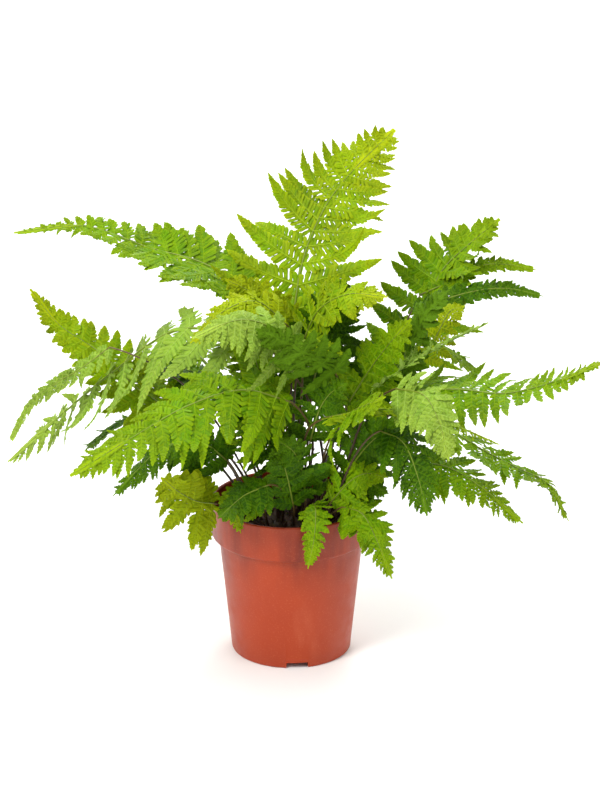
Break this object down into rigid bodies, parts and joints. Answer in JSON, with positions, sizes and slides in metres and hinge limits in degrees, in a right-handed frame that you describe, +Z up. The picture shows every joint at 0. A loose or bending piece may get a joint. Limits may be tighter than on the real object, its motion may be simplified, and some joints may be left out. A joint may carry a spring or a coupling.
{
  "type": "potted fern",
  "caption": "Bushy fern with feathered, twice-divided arching fronds on thin brown stems, rooted in dark soil in a tapered terracotta-coloured plastic nursery pot with a deep rim.",
  "frame": {"origin": "centre of the plant's overall outline in plan, which is the pot's axis, at the level that the pot stands on", "axes": "+Z up along the pot's axis; +X to the right and -Y towards a viewer who faces the plant's open front side"},
  "size_m": [0.4388, 0.2964, 0.3738],
  "materials": {
    "pot_plastic": "satin",
    "soil": "matte",
    "rootstock": "matte",
    "stem": "satin",
    "leaf_green": "satin",
    "leaf_lime": "satin",
    "leaf_pale": "satin",
    "leaf_deep": "satin"
  },
  "bodies": {
    "root": {"pot": "pot_plastic", "potting_soil": "soil", "rootstock": "rootstock", "top_stem": "stem", "top_leaf": "leaf_lime", "upper_left_stem": "stem", "upper_left_leaf": "leaf_green", "left_lime_stem": "stem", "left_lime_leaf": "leaf_lime", "left_arching_stem": "stem", "left_arching_leaf": "leaf_pale", "left_low_stem": "stem", "left_low_leaf": "leaf_green", "left_shaded_stem": "stem", "left_shaded_leaf": "leaf_deep", "rim_left_stem": "stem", "rim_left_leaf": "leaf_lime", "right_upper_stem": "stem", "right_upper_leaf": "leaf_green", "right_turned_stem": "stem", "right_turned_leaf": "leaf_deep", "right_light_stem": "stem", "right_light_leaf": "leaf_pale", "right_long_stem": "stem", "right_long_leaf": "leaf_green", "right_low_stem": "stem", "right_low_leaf": "leaf_green", "right_hanging_stem": "stem", "right_hanging_leaf": "leaf_pale", "right_drooping_stem": "stem", "right_drooping_leaf": "leaf_green", "right_front_stem": "stem", "right_front_leaf": "leaf_deep", "front_middle_stem": "stem", "front_middle_leaf": "leaf_green", "front_right_stem": "stem", "front_right_leaf": "leaf_green", "front_left_stem": "stem", "front_left_leaf": "leaf_lime", "centre_turned_stem": "stem", "centre_turned_leaf": "leaf_deep", "centre_bright_stem": "stem", "centre_bright_leaf": "leaf_green", "centre_lime_stem": "stem", "centre_lime_leaf": "leaf_lime", "front_shaded_stem": "stem", "front_shaded_leaf": "leaf_deep", "centre_yellow_stem": "stem", "centre_yellow_leaf": "leaf_lime", "back_left_stem": "stem", "back_left_leaf": "leaf_green", "back_middle_stem": "stem", "back_middle_leaf": "leaf_green", "back_right_stem": "stem", "back_right_leaf": "leaf_green", "back_low_stem": "stem", "back_low_leaf": "leaf_deep", "left_back_stem": "stem", "left_back_leaf": "leaf_deep"}
  },
  "joints": []
}
